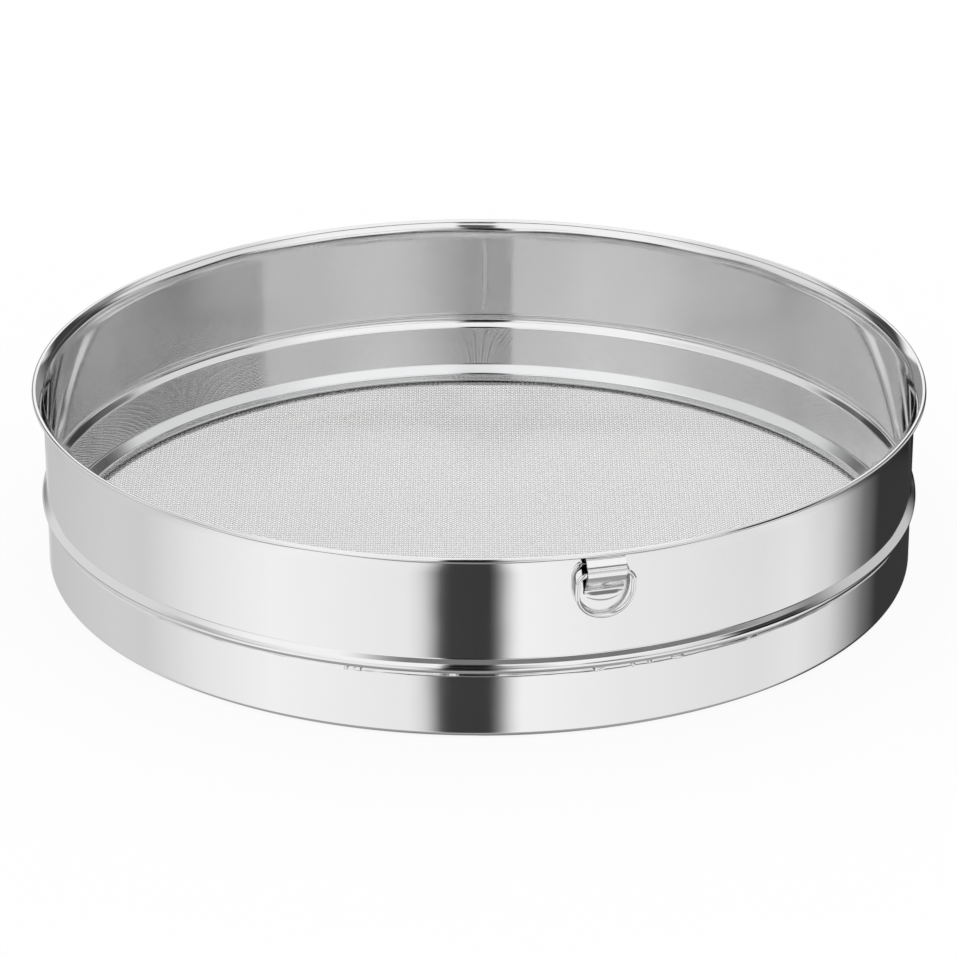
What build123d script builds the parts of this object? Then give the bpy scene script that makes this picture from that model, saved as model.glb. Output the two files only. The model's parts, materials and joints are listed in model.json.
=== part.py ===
from build123d import *
import math
import os

# Tamis, a kitchen drum sieve of bright stainless steel.
# A low round drum with a flared, curled rim and a rolled bead, a band that closes the lower half,
# a flat mesh floor clamped between the band's flange and an inner ring, and a D ring to hang it by.
# Millimetres. Z is up, the origin is on the drum's axis at the surface it stands on, the hanger faces -Y.
# The small bends of the sheet are drawn as one flat each, cut back from the corner by a named length.

# Drum wall
wall_diameter = 292.6
wall_sheet = 0.6
drum_height = 63.0
rim_reach = 3.7  # how far the curled edge stands out from the wall, which makes the rim 300 across
lean_height = 5.1  # from where the wall starts to lean outward to the top of the rim
lean_angle = 10.0
flare_height = 2.6  # from the turn into the flare to the top of the rim
flare_cut = 0.6
curl_radius = 0.9  # outside of the rolled edge
curl_cut = 0.25
curl_lip = 0.3  # how far the edge is rolled back past the middle of the curl
bead_level = 24.5
bead_height = 5.8
bead_peak = 2.3  # where the flanks would meet, outside the wall
bead_crown_cut = 0.8
bead_foot_cut = 0.5

# Lower band, sprung over the drum's lower half
band_sheet = 0.5
band_fit = 0.05
seam_drop = 0.6  # band's upper edge below the foot of the bead
flange_width = 4.6
hem_cut = 1.2
foot_gap = 0.4  # drum wall's lower edge above the bend of the hem

# Mesh cloth, drawn as a flat net that weighs as much as the weave
cloth_wire = 0.36
cloth_margin = 0.5  # cloth's edge inside the bend of the hem
net_pitch = 23.5
net_bar = 3.1
net_angle = 30.0
least_gap_share = 0.06  # smaller corners of the net stay closed

# Retaining ring, a rounded channel that opens to the wall
clamp_sheet = 0.5
clamp_height = 6.3
clamp_cut = 1.5
seat_gap = 0.03

# Hanger strap, one strip folded round the bar of the D ring
strap_width = 12.5
strap_sheet = 0.6
eye_reach = 0.9  # front of the eye out past the rim
strap_slope = 50.0  # degrees that the upper layer falls from the rim
strap_bend = 0.6
eye_front = 2.9
leg_drop = 13.6  # from the top of the rim to where the leg meets the wall
tip_drop = 17.5  # from the top of the rim to the tip of the tongue
tip_round = 10.0
weld_gap = 0.08

# D ring
ring_wire = 1.5
ring_width = 19.5
ring_height = 16.6
ring_corner = 3.0
ring_lean = 6.5  # degrees that the hanging ring leans in towards the wall
ring_gap = 0.1  # running gap round the bar
wire_sides = 12

overrun = 1.0  # how far a cutting shape runs past what it cuts

# Places that several pieces share
wall_radius = wall_diameter / 2
wall_middle = wall_radius - wall_sheet / 2
band_middle = wall_radius - band_sheet / 2
foot_radius = wall_radius - band_sheet - band_fit
flange_inside = wall_radius - flange_width
curl_out = wall_radius + rim_reach - curl_radius
curl_level = drum_height - curl_radius
bead_foot = bead_level - bead_height / 2
cloth_top = band_sheet + cloth_wire * 2
strap_middle = strap_sheet / 2
eye_front_out = rim_reach + eye_reach


def bent(corners, cuts):
    """Path through the corners, where an inner corner is cut off by one flat unless its cut is 0."""
    points = [Vector(*corners[0])]
    for before, corner, after, cut in zip(corners, corners[1:], corners[2:], cuts):
        here = Vector(*corner)
        if cut:
            points.append(here + (Vector(*before) - here).normalized() * cut)
            here += (Vector(*after) - here).normalized() * cut
        points.append(here)
    points.append(Vector(*corners[-1]))
    return Polyline(*points)


def turned(path, sheet):
    """Round sheet metal piece whose mid line, as radius and height, is the path."""
    return revolve(Plane.XZ * trace(path, sheet), Axis.Z)


def drum_wall():
    """Joggled foot, bead, plain wall that leans out at the top, flare and curled edge, rolled from one sheet."""
    foot_middle = foot_radius - wall_sheet / 2
    curl = curl_radius - wall_sheet / 2
    lean_out = (lean_height - flare_height) * math.tan(math.radians(lean_angle))
    corners = [
        (foot_middle, band_sheet + hem_cut + foot_gap),
        (foot_middle, bead_foot),
        (wall_middle + bead_peak, bead_level),
        (wall_middle, bead_foot + bead_height),
        (wall_middle, drum_height - lean_height),
        (wall_middle + lean_out, drum_height - flare_height),
        (curl_out - curl, curl_level + curl),
        (curl_out + curl, curl_level + curl),
        (curl_out + curl, curl_level - curl),
        (curl_out - curl_lip, curl_level - curl),
    ]
    bead_cuts = [bead_foot_cut, bead_crown_cut, bead_foot_cut]
    return turned(bent(corners, bead_cuts + [0, flare_cut] + [curl_cut] * 3), wall_sheet)


def lower_band():
    """Band over the drum's lower half, turned inward at the bottom as the flange the cloth lies on."""
    corners = [
        (flange_inside, band_sheet / 2),
        (band_middle, band_sheet / 2),
        (band_middle, bead_foot - seam_drop),
    ]
    return turned(bent(corners, [hem_cut]), band_sheet)


def retaining_ring():
    """Rounded channel that holds the cloth down on the flange."""
    inner = flange_inside + clamp_sheet / 2
    outer = foot_radius - wall_sheet - band_fit
    low = cloth_top + seat_gap + clamp_sheet / 2
    high = low + clamp_height - clamp_sheet
    corners = [(outer, low), (inner, low), (inner, high), (outer, high)]
    return turned(bent(corners, [clamp_cut] * 2), clamp_sheet)


def mesh_cloth():
    """Flat net over the drum's floor, its edge held under the retaining ring."""
    cloth_radius = band_middle - hem_cut - band_sheet / 2 - cloth_margin
    gap = net_pitch - net_bar
    count = 2 * math.ceil(flange_inside / net_pitch)
    squares = GridLocations(net_pitch, net_pitch, count, count) * Rectangle(gap, gap)
    open_area = Circle(flange_inside - net_bar) & (Rot(0, 0, net_angle) * Sketch(squares))
    gaps = [face.outer_wire() for face in open_area.faces() if face.area > least_gap_share * gap**2]
    net = Face(Wire([Edge.make_circle(cloth_radius)]), gaps)
    print("gaps in the net", len(gaps))
    return Pos(0, 0, band_sheet) * extrude(net, cloth_wire * 2)


def strap_line(out):
    """Height of the strap's sloping upper layer at a distance from the wall; its edges seat under the curl."""
    slope = math.radians(strap_slope)
    under_curl = (curl_radius + weld_gap + strap_middle) / math.cos(slope)
    curl_at_edge = math.sqrt(curl_out**2 - (strap_width / 2) ** 2)
    past_curl = out - (curl_at_edge - wall_radius)
    return curl_level - under_curl - past_curl * math.tan(slope)


def strap_corners():
    """Mid line of the strap as distance from the wall and height, from under the rim down to the tip of the tongue."""
    under_flare = rim_reach - curl_radius * 2
    front = eye_front_out - strap_middle
    crease = strap_line(front)
    against_wall = weld_gap + strap_middle
    return [
        (under_flare, strap_line(under_flare)),
        (front, crease),
        (front, crease - eye_front),
        (against_wall, drum_height - leg_drop),
        (against_wall, drum_height - tip_drop),
    ]


def bar_place():
    """Distance from the wall and height of the D ring's bar, which lies on the leg against the eye's front."""
    held = ring_wire / 2 + ring_gap
    out = eye_front_out - strap_sheet - held
    front, foot = strap_corners()[2:4]
    leg = math.atan2(front[1] - foot[1], front[0] - foot[0])
    leg_level = front[1] - (front[0] - out) * math.tan(leg)
    return out, leg_level + (held + strap_middle) / math.cos(leg)


def hanger_strap():
    """Strip from under the rim, round the front of the bar and back to the wall, with a rounded tongue."""
    side = Plane(origin=(0, -wall_radius, 0), x_dir=(0, -1, 0), z_dir=(-1, 0, 0))
    path = FilletPolyline(*strap_corners(), radius=strap_bend)
    strip = extrude(side * trace(path, strap_sheet), strap_width / 2, both=True)
    half = strap_width / 2
    tip = drum_height - tip_drop
    shoulder = tip + tip_round - math.sqrt(tip_round**2 - half**2)
    sides = Polyline((half, shoulder), (half, drum_height), (-half, drum_height), (-half, shoulder))
    rounded_end = ThreePointArc((-half, shoulder), (0, tip), (half, shoulder))
    front_view = Plane.XZ * make_face([sides, rounded_end])
    return strip & extrude(front_view, wall_radius + eye_front_out + overrun)


def hanging_ring():
    """D ring of round wire, bar at the top, the bow leaning in towards the wall."""
    out, level = bar_place()
    half = (ring_width - ring_wire) / 2
    arm = ring_height - ring_wire - ring_corner - half
    bar = Line((ring_corner - half, level), (half - ring_corner, level))
    right_corner = JernArc(bar @ 1, bar % 1, ring_corner, -90)
    right_arm = Line(right_corner @ 1, (right_corner @ 1) - Vector(0, arm))
    bow = JernArc(right_arm @ 1, right_arm % 1, half, -180)
    left_arm = Line(bow @ 1, (bow @ 1) + Vector(0, arm))
    left_corner = JernArc(left_arm @ 1, left_arm % 1, ring_corner, -90)
    front = Plane(origin=(0, -wall_radius - out, 0), x_dir=(1, 0, 0), z_dir=(0, -1, 0))
    upright = front * Wire([bar, right_corner, right_arm, bow, left_arm, left_corner])
    path = upright.rotate(Axis((0, -wall_radius - out, level), (1, 0, 0)), ring_lean)
    section = Plane(origin=path @ 0, z_dir=path % 0) * RegularPolygon(ring_wire / 2, wire_sides)
    print("D ring bar: out", round(out, 3), "level", round(level, 3), "wire length", round(path.length, 3))
    return sweep(section, path=path)


os.makedirs("parts", exist_ok=True)
pieces = {
    "drum_wall": drum_wall(),
    "lower_band": lower_band(),
    "retaining_ring": retaining_ring(),
    "mesh_cloth": mesh_cloth(),
    "hanger_strap": hanger_strap(),
    "hanging_ring": hanging_ring(),
}
for name, piece in pieces.items():
    piece.label = name
    export_step(piece, "parts/" + name + ".step")
    print(name, round(piece.volume, 1), "mm3")
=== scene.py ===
import json
import math

import bpy
import numpy as np
from mathutils import Matrix, Vector


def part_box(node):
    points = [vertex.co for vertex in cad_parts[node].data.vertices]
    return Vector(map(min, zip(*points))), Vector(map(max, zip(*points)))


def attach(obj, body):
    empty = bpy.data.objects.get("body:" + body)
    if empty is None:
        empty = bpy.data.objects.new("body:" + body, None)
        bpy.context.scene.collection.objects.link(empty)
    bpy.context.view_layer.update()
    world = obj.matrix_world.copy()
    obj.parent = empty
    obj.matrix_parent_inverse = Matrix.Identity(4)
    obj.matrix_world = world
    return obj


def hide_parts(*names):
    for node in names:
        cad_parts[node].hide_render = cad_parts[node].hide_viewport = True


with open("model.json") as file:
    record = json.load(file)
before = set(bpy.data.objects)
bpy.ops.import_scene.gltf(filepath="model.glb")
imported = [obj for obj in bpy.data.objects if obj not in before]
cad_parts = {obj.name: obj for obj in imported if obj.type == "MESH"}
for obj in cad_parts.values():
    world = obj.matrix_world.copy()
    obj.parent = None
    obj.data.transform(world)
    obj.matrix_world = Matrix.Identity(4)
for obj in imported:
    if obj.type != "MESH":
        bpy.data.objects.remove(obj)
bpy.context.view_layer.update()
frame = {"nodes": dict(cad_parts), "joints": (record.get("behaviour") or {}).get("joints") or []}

# Looks of the tamis: its sheet and wire pieces, the paper that it stands on, the studio and the camera.
# Lengths are in millimetres, and MM turns them into metres. A line of places is a list of (distance from
# the drum's axis, height), and a sheet is drawn by its mid line. Azimuths are seen from above, in degrees
# from the camera's side where no other start is named.

MM = 0.001
CAMERA_TURN = -15.2  # degrees from straight before the hanger
FACING = math.radians(CAMERA_TURN - 90)  # from the drum's axis towards the camera, turned from +X


def frame_box(node):
    """Lowest and highest corner of a CAD node in millimetres."""
    low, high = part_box(node)
    return low / MM, high / MM


# Node helpers


def add(tree, kind, **values):
    made = tree.nodes.new(kind)
    for key, value in values.items():
        setattr(made, key, value)
    return made


def feed(tree, socket, value):
    """Link an output into the socket, or set the socket's number, colour or grey tone."""
    if isinstance(value, bpy.types.NodeSocket):
        tree.links.new(value, socket)
    elif socket.type == "RGBA" and isinstance(value, float):
        socket.default_value = (value, value, value, 1)
    else:
        socket.default_value = value


def maths(tree, operation, *inputs):
    made = add(tree, "ShaderNodeMath", operation=operation)
    for socket, value in zip(made.inputs, inputs):
        feed(tree, socket, value)
    return made.outputs["Value"]


def product(tree, first, *others):
    for other in others:
        first = maths(tree, "MULTIPLY", first, other)
    return first


def off(tree, value, target):
    """Distance of the value from a target."""
    return maths(tree, "ABSOLUTE", maths(tree, "SUBTRACT", value, target))


def fade(tree, value, nothing, full):
    """0 where the value has reached nothing, 1 where it has reached full, soft between."""
    made = add(tree, "ShaderNodeMapRange", interpolation_type="SMOOTHSTEP")
    feed(tree, made.inputs["Value"], value)
    made.inputs["From Min"].default_value = nothing
    made.inputs["From Max"].default_value = full
    return made.outputs["Result"]


def fade_degrees(tree, value, nothing, full):
    return fade(tree, value, math.radians(nothing), math.radians(full))


def mixed(tree, share, low, high, kind="RGBA"):
    """Low where the share is 0, high where it is 1."""
    made = add(tree, "ShaderNodeMix", data_type=kind)
    feed(tree, made.inputs["Factor"], share)
    feed(tree, made.inputs["A"], low)
    feed(tree, made.inputs["B"], high)
    return made.outputs["Result"]


def noise(tree, vector, scale, detail, roughness=0.5):
    made = add(tree, "ShaderNodeTexNoise")
    feed(tree, made.inputs["Vector"], vector)
    made.inputs["Scale"].default_value = scale
    made.inputs["Detail"].default_value = detail
    made.inputs["Roughness"].default_value = roughness
    return made.outputs["Fac"]


# Steel

SEAM_AZIMUTH = math.radians(73.9)  # of the wall's weld, turned from +X
SEAM_LOW, SEAM_HIGH = 28.2, 57.5
SEAM_FADE_LOW, SEAM_FADE_HIGH = 1.8, 2.5
SEAM_MIDDLE, SEAM_REACH = 43.0, 14.0
SEAM_BEND = 0.8  # how far its ends bend to one side
SEAM_HALF_WIDTH, SEAM_FADE_WIDTH = 0.3, 0.7
SEAM_SIDE_FADE = 10.0  # keeps it off the opposite side of the drum
SEAM_ROUGH = 0.28
POLISH_SCALE, POLISH_DETAIL, POLISH_ROUGHNESS = 38.0, 5.0, 0.62
POLISH_LOW, POLISH_HIGH = 0.3, 0.7  # where most of its noise lies
WAVE_DETAIL = 1.0
LIGHTER_SHARE = 0.6  # of the stain, on the lighter side


def ground_seam(tree, coords, rough):
    """Roughness with a matt upright line where the sheet's ends were welded and ground flush."""
    split = add(tree, "ShaderNodeSeparateXYZ")
    feed(tree, split.inputs["Vector"], coords)
    x, y, z = split.outputs
    cos, sin = math.cos(SEAM_AZIMUTH), math.sin(SEAM_AZIMUTH)
    forward = maths(tree, "ADD", maths(tree, "MULTIPLY", x, cos), maths(tree, "MULTIPLY", y, sin))
    sideways = maths(tree, "ADD", maths(tree, "MULTIPLY", x, -sin), maths(tree, "MULTIPLY", y, cos))
    from_middle = maths(tree, "MULTIPLY", off(tree, z, SEAM_MIDDLE * MM), 1 / (SEAM_REACH * MM))
    bent = maths(tree, "MULTIPLY", maths(tree, "POWER", from_middle, 4.0), SEAM_BEND * MM)
    beside = off(tree, sideways, bent)
    seam = product(
        tree,
        fade(tree, beside, (SEAM_HALF_WIDTH + SEAM_FADE_WIDTH) * MM, SEAM_HALF_WIDTH * MM),
        fade(tree, forward, 0.0, SEAM_SIDE_FADE * MM),
        fade(tree, z, SEAM_LOW * MM, (SEAM_LOW + SEAM_FADE_LOW) * MM),
        fade(tree, z, SEAM_HIGH * MM, (SEAM_HIGH - SEAM_FADE_HIGH) * MM),
    )
    return mixed(tree, seam, rough, SEAM_ROUGH, "FLOAT")


def steel(name, grey, rough, spread=0.02, stain=0.02, waves=None, seam=False):
    """Bright stainless steel, uneven in polish and tint; waves are a height and how many in a metre."""
    made = bpy.data.materials.new(name)
    made.use_nodes = True
    tree = made.node_tree
    shader = tree.nodes["Principled BSDF"]
    shader.inputs["Metallic"].default_value = 1.0
    coords = add(tree, "ShaderNodeTexCoord").outputs["Object"]
    polish = noise(tree, coords, POLISH_SCALE, POLISH_DETAIL, POLISH_ROUGHNESS)

    darker = (*[tone * (1 - stain) for tone in grey], 1)
    lighter = (*[min(1.0, tone * (1 + stain * LIGHTER_SHARE)) for tone in grey], 1)
    tree.links.new(mixed(tree, polish, darker, lighter), shader.inputs["Base Color"])

    uneven = add(tree, "ShaderNodeMapRange")
    feed(tree, uneven.inputs["Value"], polish)
    uneven.inputs["From Min"].default_value = POLISH_LOW
    uneven.inputs["From Max"].default_value = POLISH_HIGH
    uneven.inputs["To Min"].default_value = rough - spread
    uneven.inputs["To Max"].default_value = rough + spread
    roughness = uneven.outputs["Result"]
    if seam:
        roughness = ground_seam(tree, coords, roughness)
    tree.links.new(roughness, shader.inputs["Roughness"])

    if waves:
        height, scale = waves
        sheet_wave = add(tree, "ShaderNodeBump")
        sheet_wave.inputs["Strength"].default_value = 1.0
        sheet_wave.inputs["Distance"].default_value = height * MM
        tree.links.new(noise(tree, coords, scale, WAVE_DETAIL), sheet_wave.inputs["Height"])
        tree.links.new(sheet_wave.outputs["Normal"], shader.inputs["Normal"])
    return made


WALL = steel("wall_steel_look", (0.885, 0.885, 0.885), rough=0.06, waves=(0.05, 45), seam=True)
BAND = steel("band_steel_look", (0.885, 0.885, 0.885), rough=0.07, waves=(0.05, 50))
CLAMP = steel("clamp_steel_look", (0.85, 0.855, 0.86), rough=0.10, spread=0.03, stain=0.03, waves=(0.02, 80))
CLOTH = steel("wire_cloth_look", (0.94, 0.94, 0.94), rough=0.22, spread=0.05, stain=0.03)
STRAP = steel("strap_steel_look", (0.90, 0.90, 0.90), rough=0.08, stain=0.03, waves=(0.01, 120))
RING = steel("ring_steel_look", (0.88, 0.88, 0.88), rough=0.06, stain=0.03, waves=(0.006, 150))


# Mid lines and meshes

COLUMNS = 640  # round a turned sheet
BEND_STEP = 9.0  # degrees of a bend between two rows


def unit(vector):
    return vector / np.linalg.norm(vector)


def on_left(heading):
    return np.array([-heading[1], heading[0]])


def arc_points(centre, radius, start, turn, step=BEND_STEP):
    """Points and left-hand normals along an arc; angles in degrees, a positive turn is anticlockwise."""
    count = max(2, math.ceil(abs(turn) / step) + 1)
    side = 1 if turn > 0 else -1
    made = []
    for k in range(count):
        angle = math.radians(start + turn * k / (count - 1))
        out = np.array([math.cos(angle), math.sin(angle)])
        made.append((centre + out * radius, -side * out))
    return made


def rounded(corners, radii, step=BEND_STEP):
    """Mid line through the corners, inner corners rounded, as points with left-hand normals."""
    corners = [np.array(corner, float) for corner in corners]
    made = [(corners[0], on_left(unit(corners[1] - corners[0])))]
    for before, here, after, radius in zip(corners, corners[1:], corners[2:], radii):
        into, out = unit(here - before), unit(after - here)
        turn = math.degrees(math.atan2(into[0] * out[1] - into[1] * out[0], into @ out))
        cut = radius * math.tan(math.radians(abs(turn) / 2))
        side = 1 if turn > 0 else -1
        first = here - into * cut
        centre = first + on_left(into) * radius * side
        start = math.degrees(math.atan2(*(first - centre)[::-1]))
        made += arc_points(centre, radius, start, turn, step)
    made.append((corners[-1], on_left(unit(corners[-1] - corners[-2]))))
    return made


def sheet_loop(mid, thickness):
    """Closed outline of a sheet about its mid line, as runs of (point, normal); runs meet at hard edges."""
    half = thickness / 2
    left = [(point + normal * half, normal) for point, normal in mid]
    right = [(point - normal * half, -normal) for point, normal in mid][::-1]
    ends = []
    for (a, _), (b, _) in ((left[-1], right[0]), (right[-1], left[0])):
        out = on_left(unit(b - a))
        ends.append([(a, out), (b, out)])
    return [left, ends[0], right, ends[1]]


def mesh_object(name, points, faces, material, normals=None, uv=None, smooth=True):
    mesh = bpy.data.meshes.new(name)
    mesh.from_pydata([tuple(point) for point in points], [], faces)
    if uv is not None:
        layer = mesh.uv_layers.new(name="OFBake")
        layer.data.foreach_set("uv", np.asarray(uv, np.float32).ravel())
    if smooth:
        mesh.polygons.foreach_set("use_smooth", np.ones(len(mesh.polygons), bool))
    if normals is not None:
        mesh.normals_split_custom_set([tuple(normal) for normal in normals])
    mesh.materials.append(material)
    made = bpy.data.objects.new(name, mesh)
    bpy.context.scene.collection.objects.link(made)
    return made


def at_azimuth(radius, angle, height):
    return (radius * math.cos(angle) * MM, radius * math.sin(angle) * MM, height * MM)


def rippled(angle, ripples):
    """Sum of waves round the drum, each as (how many, height, start)."""
    return sum(height * math.sin(count * angle + start) for count, height, start in ripples)


def turned_sheet(name, mid, thickness, material, sway=None):
    """Sheet metal piece turned round the axis; sway(height, angle) moves a place up or down."""
    angles = [2 * math.pi * k / COLUMNS for k in range(COLUMNS)]
    turn = np.array([[math.cos(angle), math.sin(angle)] for angle in angles])
    loop = sheet_loop(mid, thickness)

    def place_key(place):
        return (round(place[0], 6), round(place[1], 6))

    def ring_of(out, up):
        made = np.empty((COLUMNS, 3))
        made[:, :2] = turn * out
        made[:, 2] = up
        return made

    points, row_at = [], {}
    for run in loop:
        for place, _ in run:
            if place_key(place) in row_at:
                continue
            row_at[place_key(place)] = len(points)
            out, up = place
            lift = np.array([sway(up, angle) for angle in angles]) if sway else 0.0
            points.append(ring_of(out * MM, (up + lift) * MM))
    faces, normals = [], []
    for run in loop:
        looks = [ring_of(*normal) for _, normal in run]
        for k in range(len(run) - 1):
            a, b = row_at[place_key(run[k][0])], row_at[place_key(run[k + 1][0])]
            if a == b:
                continue
            for c in range(COLUMNS):
                d = (c + 1) % COLUMNS
                faces.append((a * COLUMNS + c, b * COLUMNS + c, b * COLUMNS + d, a * COLUMNS + d))
                normals += [looks[k][c], looks[k + 1][c], looks[k + 1][d], looks[k][d]]
    return mesh_object(name, np.concatenate(points), faces, material, normals)


# Drum wall, from its joggled foot up to the curled rim

wall_low, wall_high = frame_box("drum_wall")
band_high = frame_box("lower_band")[1]
DRUM_OUT = band_high.x  # outside of the band, and of the wall over the bead
RIM_OUT, RIM_TOP = wall_high.x, wall_high.z
BAND_TOP = band_high.z
WALL_SHEET, BAND_SHEET = 0.6, 0.5
FOOT_GAP = 0.05  # between the band and the wall's foot inside it
FOOT_MIDDLE = DRUM_OUT - BAND_SHEET - FOOT_GAP - WALL_SHEET / 2
WALL_MIDDLE = DRUM_OUT - WALL_SHEET / 2
WALL_LINE = [
    (FOOT_MIDDLE, wall_low.z),
    (FOOT_MIDDLE, BAND_TOP + 0.55),  # foot of the bead
    (WALL_MIDDLE + 2.4, BAND_TOP + 3.25),  # where the bead's flanks would meet
    (WALL_MIDDLE, BAND_TOP + 6.25),  # top of the bead
    (WALL_MIDDLE, RIM_TOP - 5.1),  # start of the outward lean
    (WALL_MIDDLE + 0.441, RIM_TOP - 2.6),  # turn into the flare
    (WALL_MIDDLE + 1.504, RIM_TOP - 1.439),  # the flare opens like a bell
    (WALL_MIDDLE + 2.718, RIM_TOP - 0.437),  # start of the curl
]
WALL_BENDS = [0.7, 2.2, 0.8, 20.0, 1.4, 16.4]  # radii at the inner corners of the line
WALL_STEP, CURL_STEP = 6.0, 12.0  # degrees of a bend between two rows
CURL_RADIUS = 0.6
CURL_REACH = CURL_RADIUS + WALL_SHEET / 2
CURL_START, CURL_TURN = 129.5, -249.35
SWAY_LEVEL, SWAY_REACH = RIM_TOP - 2.7, 2.0
SWAY_RIPPLES = [(14, 0.22, 0.0), (23, 0.13, 1.0)]


def flare_sway(height, angle):
    """The turn into the flare was rolled by hand and runs slightly up and down."""
    near = max(0.0, 1 - abs(height - SWAY_LEVEL) / SWAY_REACH)
    return near * rippled(angle, SWAY_RIPPLES)


curl_middle = np.array([RIM_OUT - CURL_REACH, RIM_TOP - CURL_REACH])
curl = arc_points(curl_middle, CURL_RADIUS, CURL_START, CURL_TURN, CURL_STEP)
wall_line = rounded(WALL_LINE, WALL_BENDS, WALL_STEP)[:-1] + curl
wall = turned_sheet("wall_sheet", wall_line, WALL_SHEET, WALL, flare_sway)
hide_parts("drum_wall")
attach(wall, "drum")


# Lower band, turned in at the bottom as a flange

BAND_MIDDLE = DRUM_OUT - BAND_SHEET / 2
FLANGE_INSIDE = 141.7
HEM_BEND = 2.0
BAND_LINE = [
    (FLANGE_INSIDE, BAND_SHEET / 2),
    (BAND_MIDDLE, BAND_SHEET / 2),
    (BAND_MIDDLE, BAND_TOP),
]

band = turned_sheet("band_sheet", rounded(BAND_LINE, [HEM_BEND]), BAND_SHEET, BAND)
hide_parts("lower_band")
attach(band, "drum")


# Solder in the joint between the bead and the band's upper edge

FILLET_COLUMNS = 900
FILLET_FOOT = [(DRUM_OUT - 0.4, BAND_TOP - 0.2), (DRUM_OUT - 0.01, BAND_TOP - 0.2)]
FILLET_FACE = [(DRUM_OUT - 0.01, BAND_TOP + 0.15), (DRUM_OUT - 0.38, BAND_TOP + 0.62)]  # the side that shows
FILLET_RIPPLES = [(37, 0.07, 0.6), (83, 0.04, 0.0), (151, 0.02, 2.0)]
LUMPS = [  # azimuth and half length
    (-16.4, 0.9),
    (-14.9, 1.6),
    (14.7, 2.0),
    (19.2, 0.8),
    (21.4, 1.0),
    (25.2, 2.2),
    (36.3, 2.4),
]
LUMP_LEVEL, LUMP_HALF_HEIGHT = BAND_TOP + 0.35, 0.5
LUMP_FOOT, LUMP_DEPTH = DRUM_OUT - 0.1, 0.22
LUMP_UNEVEN = 0.22
LUMP_SIDES, LUMP_ROWS = 10, 3


def solder_seam():
    """Thin uneven fillet that fills the joint."""
    rows = len(FILLET_FOOT) + len(FILLET_FACE)
    points, faces = [], []
    for k in range(FILLET_COLUMNS):
        angle = 2 * math.pi * k / FILLET_COLUMNS
        lift = rippled(angle, FILLET_RIPPLES)
        section = FILLET_FOOT + [(radius, height + lift) for radius, height in FILLET_FACE]
        points += [at_azimuth(radius, angle, height) for radius, height in section]
    for k in range(FILLET_COLUMNS):
        n = (k + 1) % FILLET_COLUMNS
        for row in range(rows):
            upper = (row + 1) % rows
            faces.append((k * rows + row, n * rows + row, n * rows + upper, k * rows + upper))
    return mesh_object("band_solder_seam", points, faces, BAND, smooth=False)


def solder_lumps():
    """Small flat lumps over the band's upper edge, each a low dome closed by one point."""
    points, faces = [], []
    for degrees, half_length in LUMPS:
        base = len(points)
        for row in range(LUMP_ROWS + 1):
            closed = row == LUMP_ROWS
            spread = 0.0 if closed else math.cos(math.pi / 2 * row / LUMP_ROWS)
            radius = LUMP_FOOT + LUMP_DEPTH * math.sin(math.pi / 2 * row / LUMP_ROWS)
            for k in range(1 if closed else LUMP_SIDES):
                angle = 2 * math.pi * k / LUMP_SIDES
                reach = spread * (1 + LUMP_UNEVEN * math.sin(3 * angle + degrees))
                sideways = half_length * math.cos(angle) * reach
                height = LUMP_LEVEL + LUMP_HALF_HEIGHT * math.sin(angle) * reach
                turned_to = FACING + math.radians(degrees) + sideways / radius
                points.append(at_azimuth(radius, turned_to, height))
        for row in range(LUMP_ROWS - 1):
            a = base + row * LUMP_SIDES
            b = a + LUMP_SIDES
            for k in range(LUMP_SIDES):
                n = (k + 1) % LUMP_SIDES
                faces.append((a + k, a + n, b + n, b + k))
        last, top = base + (LUMP_ROWS - 1) * LUMP_SIDES, base + LUMP_ROWS * LUMP_SIDES
        faces += [(last + k, last + (k + 1) % LUMP_SIDES, top) for k in range(LUMP_SIDES)]
    return mesh_object("band_solder", points, faces, BAND)


seam_fill = solder_seam()
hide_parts("lower_band")
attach(seam_fill, "drum")

lumps = solder_lumps()
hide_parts("lower_band")
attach(lumps, "drum")


# Retaining ring: a flat foot on the cloth, an upright inner side and a sloping top

clamp_low, clamp_high = frame_box("retaining_ring")
CLAMP_SHEET = 0.5
CLAMP_OUT, CLAMP_INSIDE = clamp_high.x, 141.95
CLAMP_FOOT, CLAMP_TOP = clamp_low.z + CLAMP_SHEET / 2, clamp_high.z - CLAMP_SHEET
CLAMP_LINE = [
    (CLAMP_OUT, CLAMP_FOOT),
    (CLAMP_INSIDE, CLAMP_FOOT),
    (CLAMP_INSIDE, CLAMP_FOOT + 2.9),  # start of the slope
    (CLAMP_OUT - 0.3, CLAMP_TOP),
    (CLAMP_OUT, CLAMP_TOP),
]
CLAMP_BENDS = [1.3, 1.0, 0.6]

clamp = turned_sheet("clamp_sheet", rounded(CLAMP_LINE, CLAMP_BENDS), CLAMP_SHEET, CLAMP)
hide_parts("retaining_ring")
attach(clamp, "drum")


# Wire cloth, a plain weave

cloth_low, cloth_high = frame_box("mesh_cloth")
PITCH, WIRE = 1.15, 0.27
WIRE_SIDES = 3
WIRE_SPREAD = 1.1  # stretches its section sideways
WEAVE_ANGLE = math.radians(29.8)
CLOTH_REACH = cloth_high.x - 0.2
CLOTH_MIDDLE = (cloth_low.z + cloth_high.z) / 2
WIRES_EACH_SIDE = 126  # no fewer than the cloth holds
LONGEST = 260  # crossings of a wire at most
UV_SHARE = 0.8  # of its strip that a side of a wire fills


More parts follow.
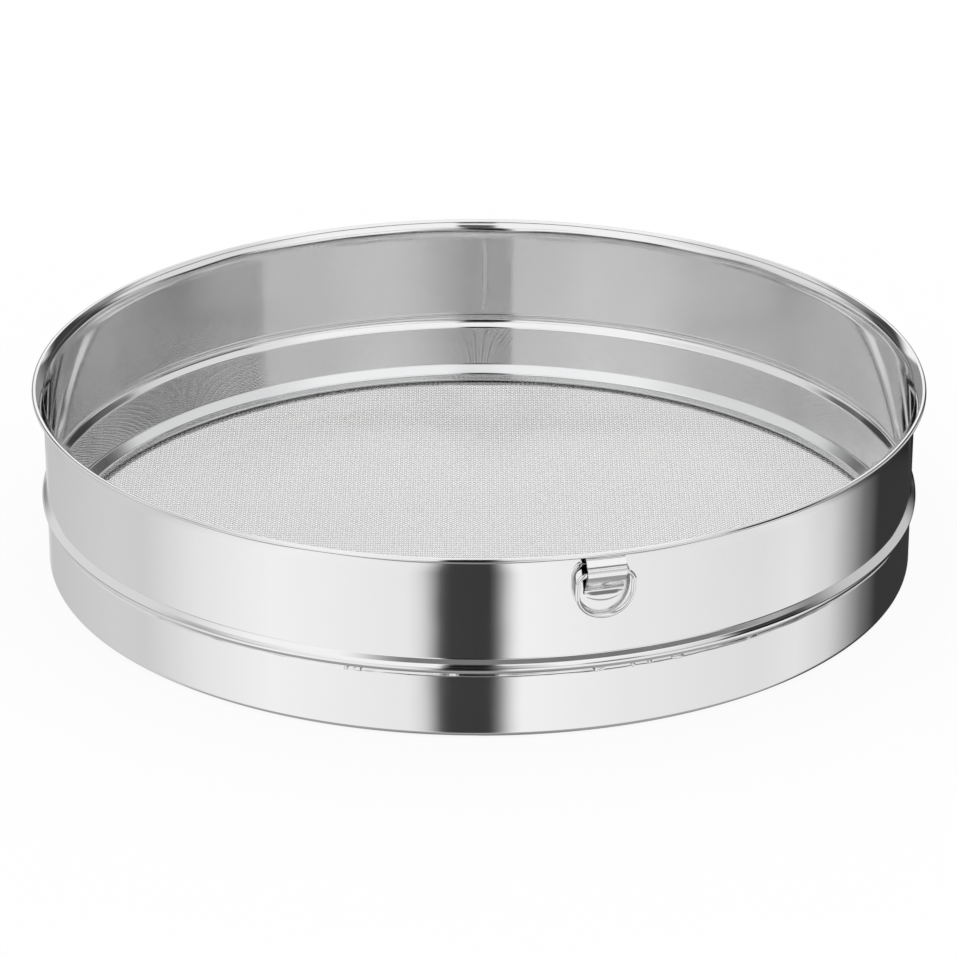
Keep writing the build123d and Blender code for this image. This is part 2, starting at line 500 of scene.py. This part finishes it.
def woven(name, quarter_turns, first, last):
    """Wires of one direction of the weave, each over and under its crossings in turn."""
    heading = WEAVE_ANGLE + quarter_turns * math.pi / 2
    along = np.array([math.cos(heading), math.sin(heading)])
    across = on_left(along)
    strips_in_all = (last - first) * WIRE_SIDES
    points, faces, uv = [], [], []
    for index in range(first, last):
        offset = (index + 0.5) * PITCH
        if abs(offset) >= CLOTH_REACH:
            continue
        reach = math.sqrt(CLOTH_REACH**2 - offset**2)
        lowest, highest = math.ceil(-reach / PITCH - 0.5), math.floor(reach / PITCH - 0.5)
        if highest <= lowest:
            continue
        base = len(points)
        for step in range(lowest, highest + 1):
            # a crossing's parity decides which of the two wires runs over the other
            over = 1 if (index + step + quarter_turns) % 2 == 0 else -1
            centre = along * (step + 0.5) * PITCH + across * offset
            height = CLOTH_MIDDLE + over * WIRE / 2
            for corner in range(WIRE_SIDES):
                angle = math.pi / 2 + 2 * math.pi * corner / WIRE_SIDES
                x, y = centre + across * math.cos(angle) * WIRE / 2 * WIRE_SPREAD
                points.append((x * MM, y * MM, (height + math.sin(angle) * WIRE / 2) * MM))
        for k in range(highest - lowest):
            a, b = base + k * WIRE_SIDES, base + (k + 1) * WIRE_SIDES
            left, right = k / LONGEST, (k + 1) / LONGEST
            for corner in range(WIRE_SIDES):
                turn = (corner + 1) % WIRE_SIDES
                faces.append((a + corner, b + corner, b + turn, a + turn))
                low = ((index - first) * WIRE_SIDES + corner) / strips_in_all
                high = low + UV_SHARE / strips_in_all
                uv += [(left, low), (right, low), (right, high), (left, high)]
    made = mesh_object(name, points, faces, CLOTH, uv=uv)
    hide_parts("mesh_cloth")
    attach(made, "drum")


for quarter_turns, word in enumerate(("warp", "weft")):
    woven(f"cloth_{word}_left", quarter_turns, -WIRES_EACH_SIDE, 0)
    woven(f"cloth_{word}_right", quarter_turns, 0, WIRES_EACH_SIDE)


# Hanger strap; its line is a list of (distance out from the wall, height)

strap_low, strap_high = frame_box("hanger_strap")
STRAP_SHEET = 0.6
STRAP_HALF = strap_high.x
STRAP_EDGE = 0.2  # worn off its edges
STRAP_COLUMNS = 12
STRAP_SPACING = 0.8  # between rows, about
TONGUE_OUT = 0.38
TONGUE_TIP = strap_low.z
TONGUE_ROUND = 10.0  # radius of the tongue's rounded end
TONGUE_ROWS = 12
TONGUE_TOP = 48.7
TONGUE_CROWN = 0.22  # how far the tongue's middle stands out over its pressed border
TONGUE_BORDER, TONGUE_RUN_OUT = 0.7, 0.8  # over which the crown rises, and fades out at the top
FRONT_OUT = 4.3
STRAP_LINE = [
    (1.75, 60.55),  # under the curl of the rim
    (4.08, 57.80),  # lower end of the slope over the bar
    (3.93, 57.50),  # a crease across the front of the fold
    (FRONT_OUT, 57.30),
    (FRONT_OUT, 55.265),  # from here the leg goes back under the bar
    (TONGUE_OUT, 49.4),  # the tongue starts on the wall
    (TONGUE_OUT, TONGUE_TIP),
]
STRAP_BENDS = [0.12, 0.05, 0.15, 0.6, 0.8]
STRAP_STEP = 20.0
SHOULDER_GAP = 0.05  # least distance of the last straight row from the tongue's rounded end
NARROWEST = math.radians(2.0)  # keeps the last row from closing to a point


def strap_rows():
    """Rows from under the rim to the tongue's tip, as ((distance out, height), half width)."""
    mid = rounded(STRAP_LINE, STRAP_BENDS, STRAP_STEP)
    rows = []
    for (here, _), (after, _) in zip(mid, mid[1:]):
        pieces = max(1, round(np.linalg.norm(after - here) / STRAP_SPACING))
        rows += [(here + (after - here) * k / pieces, STRAP_HALF) for k in range(pieces)]
    shoulder = TONGUE_TIP + TONGUE_ROUND - math.sqrt(TONGUE_ROUND**2 - STRAP_HALF**2)
    rows = [row for row in rows if row[0][1] > shoulder + SHOULDER_GAP]
    widest = math.asin(STRAP_HALF / TONGUE_ROUND)
    for k in range(TONGUE_ROWS + 1):
        angle = max(widest * (1 - k / TONGUE_ROWS), NARROWEST)
        height = TONGUE_TIP + TONGUE_ROUND * (1 - math.cos(angle))
        rows.append(((TONGUE_OUT, height), TONGUE_ROUND * math.sin(angle)))
    return rows


def crown_at(x, height):
    """How far the tongue stands out at a place."""
    if height >= TONGUE_TOP:
        return 0.0
    from_edge = TONGUE_ROUND - math.hypot(x, height - TONGUE_TIP - TONGUE_ROUND)
    rise = min(1.0, max(0.0, from_edge) / TONGUE_BORDER)
    return TONGUE_CROWN * rise * min(1.0, (TONGUE_TOP - height) / TONGUE_RUN_OUT)


def strap():
    rows = strap_rows()
    points, faces = [], []
    for (out, height), half in rows:
        for c in range(STRAP_COLUMNS + 1):
            x = half * (2 * c / STRAP_COLUMNS - 1)
            points.append((x * MM, -(DRUM_OUT + out + crown_at(x, height)) * MM, height * MM))
    for r in range(len(rows) - 1):
        for c in range(STRAP_COLUMNS):
            a = r * (STRAP_COLUMNS + 1) + c
            b = a + STRAP_COLUMNS + 1
            faces.append((a, a + 1, b + 1, b))
    made = mesh_object("strap_sheet", points, faces, STRAP)
    thick = made.modifiers.new("sheet", "SOLIDIFY")
    thick.thickness = STRAP_SHEET * MM
    thick.offset = 0.0
    thick.use_even_offset = True
    edge = made.modifiers.new("worn_edge", "BEVEL")
    edge.width = STRAP_EDGE * MM
    edge.segments = 2
    edge.limit_method = "ANGLE"
    edge.angle_limit = math.radians(55)
    edge.harden_normals = True
    return made


hanger = strap()
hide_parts("hanger_strap")
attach(hanger, "drum")


# D ring; its path is a list of (sideways, up) from the middle of its bar

RING_BAR = Vector(frame["joints"][0]["pos_m"]) / MM
RING_WIRE = 0.75  # radius
RING_HALF = 9.0
RING_CORNER = 3.0
RING_BOW = -6.1  # height of the bow's centre
RING_LEAN = 6.5  # degrees that it leans in towards the wall
RING_SIDES = 20
BAR_PIECES, SIDE_PIECES, CORNER_PIECES, BOW_PIECES = 8, 3, 12, 48


def bend(centre, radius, start, turn, count):
    """Places along an arc in degrees, without its end."""
    angles = [math.radians(start + turn * k / count) for k in range(count)]
    return [(centre[0] + radius * math.cos(a), centre[1] + radius * math.sin(a)) for a in angles]


def straight(start, end, count):
    """Places along a line, without its end."""
    return [tuple(a + (b - a) * k / count for a, b in zip(start, end)) for k in range(count)]


def ring_path():
    flat = RING_HALF - RING_CORNER
    path = straight((-flat, 0.0), (flat, 0.0), BAR_PIECES)
    path += bend((flat, -RING_CORNER), RING_CORNER, 90, -90, CORNER_PIECES)
    path += straight((RING_HALF, -RING_CORNER), (RING_HALF, RING_BOW), SIDE_PIECES)
    path += bend((0, RING_BOW), RING_HALF, 0, -180, BOW_PIECES)
    path += straight((-RING_HALF, RING_BOW), (-RING_HALF, -RING_CORNER), SIDE_PIECES)
    path += bend((-flat, -RING_CORNER), RING_CORNER, 180, -90, CORNER_PIECES)
    return [np.array(place) for place in path]


def d_ring():
    """Round wire bent to a D, its bar at the top."""
    path = ring_path()
    lean = Matrix.Rotation(math.radians(RING_LEAN), 3, "X")
    points, faces = [], []
    for k, here in enumerate(path):
        out = on_left(unit(path[(k + 1) % len(path)] - path[k - 1]))
        for s in range(RING_SIDES):
            angle = 2 * math.pi * s / RING_SIDES
            x, z = here + out * math.cos(angle) * RING_WIRE
            points.append((RING_BAR + lean @ Vector((x, math.sin(angle) * RING_WIRE, z))) * MM)
    for k in range(len(path)):
        a, b = k * RING_SIDES, (k + 1) % len(path) * RING_SIDES
        for s in range(RING_SIDES):
            t = (s + 1) % RING_SIDES
            faces.append((a + s, a + t, b + t, b + s))
    return mesh_object("d_ring_wire", points, faces, RING)


ring = d_ring()
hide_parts("hanging_ring")
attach(ring, "ring")


# Paper that the drum stands on, in metres

PAPER_HALF, PAPER_LEVEL = 6.0, -0.0002
PAPER_CORNERS = [(-1, -1), (1, -1), (1, 1), (-1, 1)]
PAPER_LIT_SHARE = 0.12  # the rest of its white is its own light


def white_paper():
    made = bpy.data.materials.new("floor_paper")
    made.use_nodes = True
    tree = made.node_tree
    tree.nodes.clear()
    own = add(tree, "ShaderNodeEmission")
    own.inputs["Color"].default_value = (1, 1, 1, 1)
    plain = add(tree, "ShaderNodeBsdfDiffuse")
    plain.inputs["Color"].default_value = (0.98, 0.98, 0.98, 1)
    mix = add(tree, "ShaderNodeMixShader")
    mix.inputs["Fac"].default_value = PAPER_LIT_SHARE
    tree.links.new(own.outputs["Emission"], mix.inputs[1])
    tree.links.new(plain.outputs["BSDF"], mix.inputs[2])
    done = add(tree, "ShaderNodeOutputMaterial")
    tree.links.new(mix.outputs["Shader"], done.inputs["Surface"])
    return made


paper_points = [(x * PAPER_HALF, y * PAPER_HALF, PAPER_LEVEL) for x, y in PAPER_CORNERS]
floor = mesh_object("floor", paper_points, [(0, 1, 2, 3)], white_paper(), smooth=False)
floor.visible_glossy = False


# Studio: what the steel mirrors

# Each list holds stops of (azimuth, grey tone). Azimuths grow to the camera's right.

UNDER_FEET, FLOOR_TONE, CEILING_TONE = 0.2, 0.38, 1.0
OUTER = [  # mirrored by the upright outside of the drum
    (-180, 0.92), (-160, 0.57), (-112, 0.69), (-98, 0.68), (-78, 0.88), (-55, 0.99), (-18, 0.90),
    (-14.5, 0.75), (-12, 0.42), (-10, 0.12), (-8, 0.05), (3, 0.045), (5, 0.17), (8, 0.72), (10.5, 1.0),
    (38, 0.91), (78, 0.82), (92, 0.87), (105, 0.735), (121, 0.185), (130, 0.04),
]
INNER = [  # mirrored by the upright inside of the drum's far half
    (-180, 0.58), (-150, 0.58), (-128, 0.3), (-110, 0.3), (-62, 0.5), (-48, 0.85), (-30, 0.85),
    (-9.2, 0.6), (-8.4, 0.0), (2, 0.0), (18, 0.65), (25, 0.75), (45, 0.55), (61, 0.45), (64, 0.0),
    (179, 0.02),
]
HORIZON = [
    (-180, 0.3), (-75, 0.3), (-62, 0.8), (-30, 1.0), (-10, 1.0), (-8, 0.03), (2.5, 0.03), (8, 0.5),
    (20, 1.0), (50, 0.85), (62, 0.7), (68, 0.05), (152, 0.05), (160, 0.3), (180, 0.3),
]
MIDDLE = [
    (-180, 1.0), (-151, 1.0), (-146, 0.06), (-135, 0.06), (-129, 0.5), (-90, 0.4), (-62, 0.75),
    (-45, 1.0), (-10, 1.0), (-8, 0.0), (2.5, 0.0), (8, 0.5), (20, 1.0), (50, 0.85), (62, 0.7),
    (68, 0.05), (150, 0.05), (156, 1.0), (180, 1.0),
]
UPPER = [
    (-180, 1.0), (-150, 1.0), (-138, 0.3), (-130, 0.3), (-124, 0.78), (-90, 0.8), (-66, 1.0),
    (-11, 1.0), (-8, 0.04), (4, 0.04), (7, 1.0), (66, 1.0), (90, 0.8), (124, 0.78), (130, 0.3),
    (138, 0.3), (150, 1.0), (180, 1.0),
]
LAYERS = [  # each above a soft step between two elevations in degrees
    (-84, -70, FLOOR_TONE),
    (-54, -46, OUTER),
    (-23.4, -23.0, INNER),
    (-10, -6, HORIZON),
    (12, 15, MIDDLE),
    (26, 34, UPPER),
    (59, 64, CEILING_TONE),
]

# Strips overhead, each a grey tone and its bounds. A bound is (measure, middle, nothing, full) in degrees:
# the strip fades from nothing to full along the measure, or along the measure's distance from the middle.
# The measures are the slope and the azimuth of a surface that mirrors a place of the studio to the front.

FRONT_ELEVATION = 26
AT_BEAD = [("slope", None, 7, 10), ("slope", None, 39.7, 39.2), ("azimuth", 0, 86, 76)]
STRIPS = [
    # dark along the bead's upper flank
    (0.2, [("slope", 38.2, 1.5, 1.0), ("azimuth", None, -19, -9), ("azimuth", None, 58, 30)]),
    # light at the bead's two ends, but not where the wall turns out of sight
    (0.6, [*AT_BEAD, ("azimuth", None, 44, 56)]),
    (0.75, [*AT_BEAD, ("azimuth", None, -34, -48)]),
    # a thin dark line along the far side of the flare
    (0.12, [("slope", 52.1, 0.6, 0.3)]),
    # dark across the middle of the flare, but not on the faces of the bead and the retaining ring
    (0.1, [
        ("azimuth", 0.35, 3.0, 2.2),
        ("slope", 49.35, 0.8, 1.1),
        ("slope", None, 41.5, 43.5),
        ("slope", None, 52.8, 52.2),
    ]),
]

# A dark spot before the hanger, which its leg mirrors by way of the bead

SPOT_AZIMUTH, SPOT_ELEVATION = 33.0, -9.5
SPOT_NOTHING, SPOT_FULL = 9.5, 6.0  # degrees from its middle
SPOT_TONE = 0.2


def direction(azimuth, elevation):
    turned_to, up_by = FACING + math.radians(azimuth), math.radians(elevation)
    level = math.cos(up_by)
    return Vector((math.cos(turned_to) * level, math.sin(turned_to) * level, math.sin(up_by)))


def azimuth_of(tree, x, y):
    turned_to = maths(tree, "SUBTRACT", maths(tree, "ARCTAN2", y, x), FACING)
    return maths(tree, "WRAP", turned_to, math.pi, -math.pi)


def tone_round(tree, place, stops):
    """Grey tone over the azimuth; place runs from 0 at -180 degrees to 1 at 180."""
    made = add(tree, "ShaderNodeValToRGB")
    tree.links.new(place, made.inputs["Fac"])
    held = made.color_ramp.elements
    for k, (degrees, tone) in enumerate(stops):
        at = (degrees + 180) / 360
        stop = held[k] if k < 2 else held.new(at)
        stop.position = at
        stop.color = (tone, tone, tone, 1)
    return made.outputs["Color"]


def layers(tree, seen):
    split = add(tree, "ShaderNodeSeparateXYZ")
    tree.links.new(seen, split.inputs["Vector"])
    x, y, z = split.outputs
    place = maths(tree, "MULTIPLY_ADD", azimuth_of(tree, x, y), 1 / (2 * math.pi), 0.5)
    climb = maths(tree, "ARCSINE", z)
    tone = UNDER_FEET
    for first, last, layer in LAYERS:
        above = layer if isinstance(layer, float) else tone_round(tree, place, layer)
        tone = mixed(tree, fade_degrees(tree, climb, first, last), tone, above)
    return tone


def mirroring_surface(tree, seen):
    """Slope and azimuth of the surface that mirrors a direction towards the front."""
    summed = add(tree, "ShaderNodeVectorMath", operation="ADD")
    tree.links.new(seen, summed.inputs[0])
    summed.inputs[1].default_value = direction(0, FRONT_ELEVATION)
    normal = add(tree, "ShaderNodeVectorMath", operation="NORMALIZE")
    tree.links.new(summed.outputs["Vector"], normal.inputs[0])
    split = add(tree, "ShaderNodeSeparateXYZ")
    tree.links.new(normal.outputs["Vector"], split.inputs["Vector"])
    x, y, z = split.outputs
    return {"slope": maths(tree, "ARCSINE", z), "azimuth": azimuth_of(tree, x, y)}


def strips(tree, tone, measures):
    for strip_tone, bounds in STRIPS:
        fades = []
        for measure, middle, nothing, full in bounds:
            value = measures[measure]
            if middle is not None:
                value = off(tree, value, math.radians(middle))
            fades.append(fade_degrees(tree, value, nothing, full))
        tone = mixed(tree, product(tree, *fades), tone, strip_tone)
    return tone


def low_spot(tree, seen, tone):
    near = add(tree, "ShaderNodeVectorMath", operation="DOT_PRODUCT")
    tree.links.new(seen, near.inputs[0])
    near.inputs[1].default_value = direction(SPOT_AZIMUTH, SPOT_ELEVATION)
    nothing, full = math.cos(math.radians(SPOT_NOTHING)), math.cos(math.radians(SPOT_FULL))
    return mixed(tree, fade(tree, near.outputs["Value"], nothing, full), tone, SPOT_TONE)


def studio():
    """The camera and the paper see plain white; the steel sees the studio."""
    world = bpy.data.worlds.new("studio")
    bpy.context.scene.world = world
    world.use_nodes = True
    tree = world.node_tree
    tree.nodes.clear()
    seen = add(tree, "ShaderNodeTexCoord").outputs["Generated"]
    tone = strips(tree, layers(tree, seen), mirroring_surface(tree, seen))
    tone = low_spot(tree, seen, tone)
    rays = add(tree, "ShaderNodeLightPath").outputs
    steel_sees = maths(tree, "MAXIMUM", rays["Is Glossy Ray"], rays["Is Transmission Ray"])
    light = add(tree, "ShaderNodeBackground")
    light.inputs["Strength"].default_value = 1.0
    tree.links.new(mixed(tree, steel_sees, 1.0, tone), light.inputs["Color"])
    done = add(tree, "ShaderNodeOutputWorld")
    tree.links.new(light.outputs["Background"], done.inputs["Surface"])


studio()


# Camera, at the photograph's viewing angle

CAMERA_ELEVATION = math.radians(23.601)
CAMERA_DISTANCE, LOOK_HEIGHT = 1478.6, 26.39
AIM_SIDEWAYS, AIM_UP, AIM_ROLL = 0.006, -0.077, -0.036  # degrees, small corrections of the aim
PICTURE_WIDTH, FOCAL_LENGTH = 957, 4349.15  # pixels
SENSOR_WIDTH = 36
NEAREST, FARTHEST = 0.05, 30  # that it sees, in metres


def turned_by(degrees, axis, *vectors):
    spin = Matrix.Rotation(math.radians(degrees), 3, axis)
    return [spin @ vector for vector in vectors]


def camera_seat():
    back = Vector((0, -math.cos(CAMERA_ELEVATION), math.sin(CAMERA_ELEVATION)))
    forward, right = -back, Vector((1, 0, 0))
    up = right.cross(forward)
    forward, right = turned_by(AIM_SIDEWAYS, up, forward, right)
    forward, up = turned_by(AIM_UP, right, forward, up)
    right, up = turned_by(AIM_ROLL, forward, right, up)
    place = back * CAMERA_DISTANCE + Vector((0, 0, LOOK_HEIGHT))
    place, right, up, forward = turned_by(CAMERA_TURN, "Z", place, right, up, forward)
    seat = Matrix((right, up, -forward)).transposed().to_4x4()
    seat.translation = place * MM
    return seat


camera = bpy.data.objects.new("camera", bpy.data.cameras.new("camera"))
bpy.context.scene.collection.objects.link(camera)
camera.matrix_world = camera_seat()
camera.data.sensor_width = SENSOR_WIDTH
camera.data.lens = FOCAL_LENGTH / PICTURE_WIDTH * SENSOR_WIDTH
camera.data.clip_start, camera.data.clip_end = NEAREST, FARTHEST
bpy.context.scene.camera = camera
bpy.context.scene.view_settings.view_transform = "Standard"


# The CAD nodes get the same materials

LOOKS = {
    "drum_wall": WALL,
    "lower_band": BAND,
    "retaining_ring": CLAMP,
    "mesh_cloth": CLOTH,
    "hanger_strap": STRAP,
    "hanging_ring": RING,
}
for node, look in LOOKS.items():
    for held_slot in frame["nodes"][node].material_slots:
        held_slot.material = look

bpy.context.view_layer.update()
